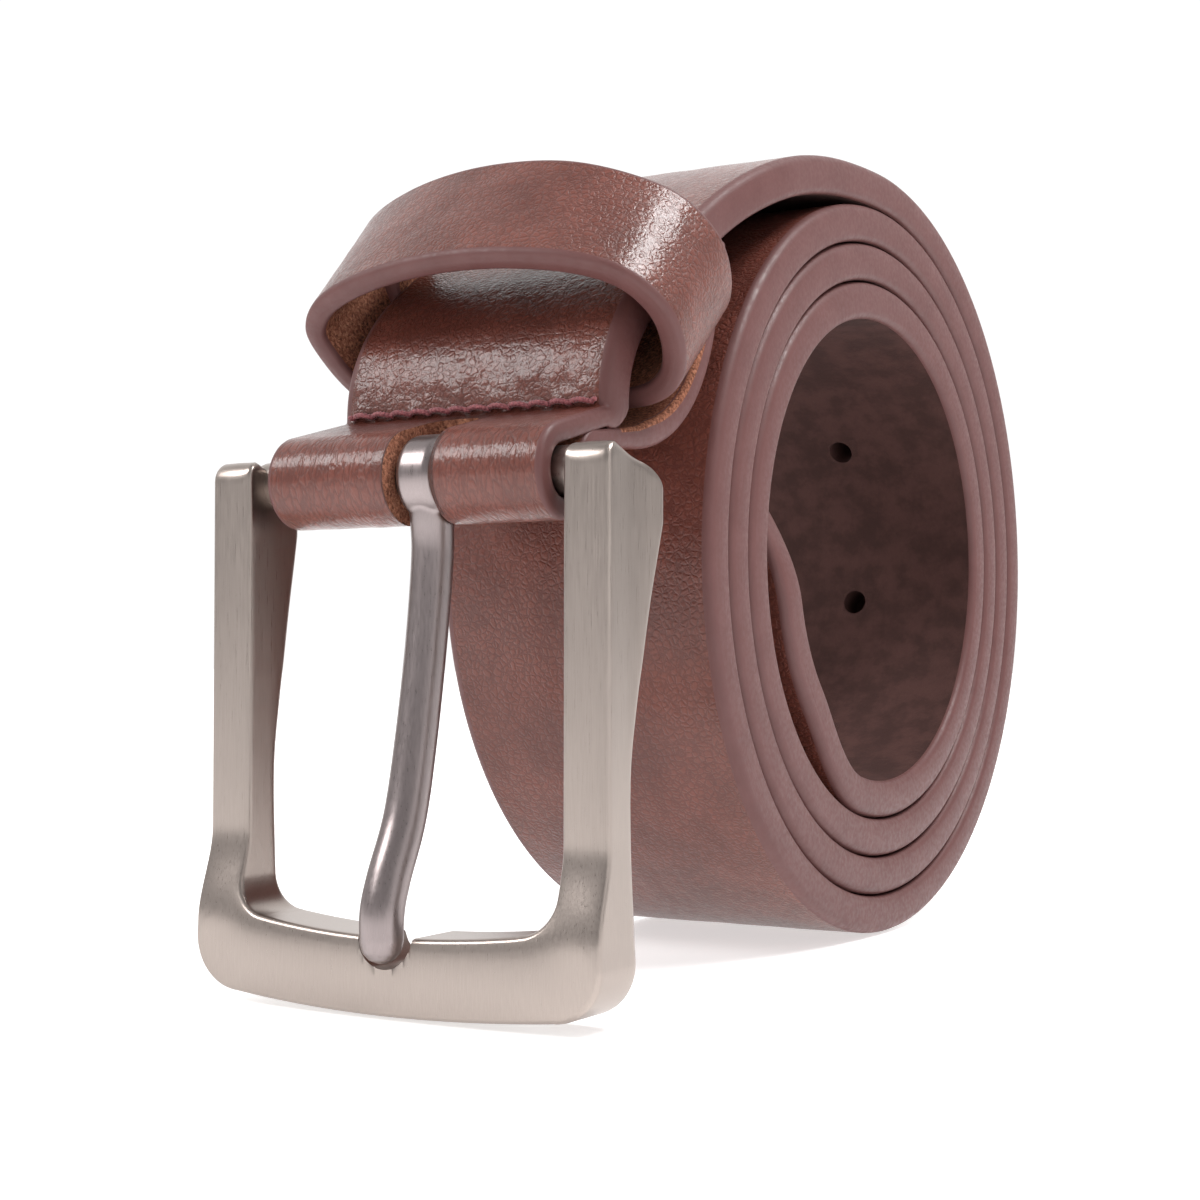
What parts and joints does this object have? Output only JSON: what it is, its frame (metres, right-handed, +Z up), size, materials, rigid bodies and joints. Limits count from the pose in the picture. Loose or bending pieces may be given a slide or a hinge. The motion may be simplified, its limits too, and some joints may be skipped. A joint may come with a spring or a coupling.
{
  "type": "leather belt",
  "caption": "Leather trouser belt rolled up on its rim, with a U-shaped prong buckle hanging in front and two leather keepers behind it.",
  "frame": {"origin": "on the surface the belt stands on, under the middle of its bounding box", "axes": "+X along the axis of the roll, to the right as the buckle is seen from the front; +Y from the buckle back over the roll; +Z up"},
  "size_m": [0.0528, 0.1424, 0.1013],
  "materials": {
    "strap_leather": "glossy pebbled full grain outside, dark brown flesh side, painted edges",
    "keeper_leather": "glossy grain outside, raw orange-brown suede inside",
    "buckle_metal": "satin, brushed, with polished bevels",
    "prong_metal": "satin, a little brighter on top of its round",
    "staple_wire": "bright drawn wire",
    "thread": "waxed twisted thread"
  },
  "bodies": {
    "strap": {"strap": "strap_leather", "keeper_rear": "keeper_leather", "keeper_rear_staple": "staple_wire", "front_seam_needle_thread": "thread", "front_seam_bobbin_thread": "thread", "rear_seam_needle_thread": "thread", "rear_seam_bobbin_thread": "thread"},
    "keeper_front": {"keeper_front": "keeper_leather", "keeper_front_staple": "staple_wire"},
    "buckle_frame": {"buckle_frame": "buckle_metal"},
    "prong": {"prong": "prong_metal"}
  },
  "joints": [
    {"name": "buckle_pivot", "type": "hinge", "parent": "strap", "child": "buckle_frame", "pos_m": [0, -0.0611, 0.0554], "axis": [-1, 0, 0], "range_deg": [-25, 70]},
    {"name": "prong_pivot", "type": "hinge", "parent": "buckle_frame", "child": "prong", "pos_m": [0, -0.0611, 0.0554], "axis": [-1, 0, 0], "range_deg": [0, 95]},
    {"name": "keeper_slide", "type": "slide", "parent": "strap", "child": "keeper_front", "axis": [0, 0.7431, 0.6691], "range_m": [-0.002, 0.0005]}
  ]
}
